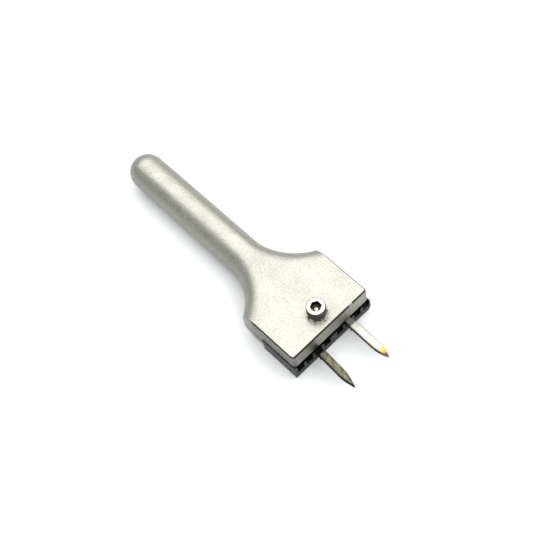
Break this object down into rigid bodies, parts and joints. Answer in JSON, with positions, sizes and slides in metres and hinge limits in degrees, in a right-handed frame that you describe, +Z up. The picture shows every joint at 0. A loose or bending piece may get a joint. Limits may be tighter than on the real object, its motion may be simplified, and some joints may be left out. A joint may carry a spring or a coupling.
{
  "type": "adjustable leather stitching punch",
  "caption": "Hand punch for leather: cast handle with a flared head, slotted comb jaw, clamp screw and interchangeable pointed prongs.",
  "frame": {"origin": "middle of the whole tool's footprint, on the surface that it lies on", "axes": "+X along the handle towards the prongs, +Z up out of the flat side with the screw head, +Y across the head"},
  "size_m": [0.123, 0.0368, 0.0197],
  "materials": {
    "satin_nickel_casting": "bead-blasted casting with satin nickel plate",
    "black_oxide_steel": "milled, black oxide",
    "zinc_plated_steel": "bright zinc plate, knurled side",
    "ground_tool_steel": "ground, straw-coloured at the point",
    "tempered_tool_steel": "brown temper colours, unpolished"
  },
  "bodies": {
    "handle": {"handle_casting": "satin_nickel_casting"},
    "screw": {"clamp_screw": "zinc_plated_steel"},
    "jaw": {"comb_jaw": "black_oxide_steel"},
    "right_prong": {"prong_right": "ground_tool_steel"},
    "left_prong": {"prong_left": "tempered_tool_steel"}
  },
  "joints": [
    {"name": "clamp_screw_turn", "type": "hinge", "parent": "handle", "child": "screw", "pos_m": [0.03514, 0.00005, 0.0156], "axis": [0, 0, 1], "range_deg": [0, 1440]},
    {"name": "comb_jaw_open", "type": "slide", "parent": "handle", "child": "jaw", "axis": [0, 0, 1], "range_m": [-0.0028, 0]},
    {"name": "right_prong_draw", "type": "slide", "parent": "jaw", "child": "right_prong", "axis": [1, -0.0087, 0], "range_m": [0, 0.012]},
    {"name": "left_prong_draw", "type": "slide", "parent": "jaw", "child": "left_prong", "axis": [0.9983, -0.0576, 0], "range_m": [0, 0.012]}
  ],
  "couplings": [
    {"joint": "clamp_screw_turn", "follows": "comb_jaw_open", "rad_per_m": -8976}
  ]
}
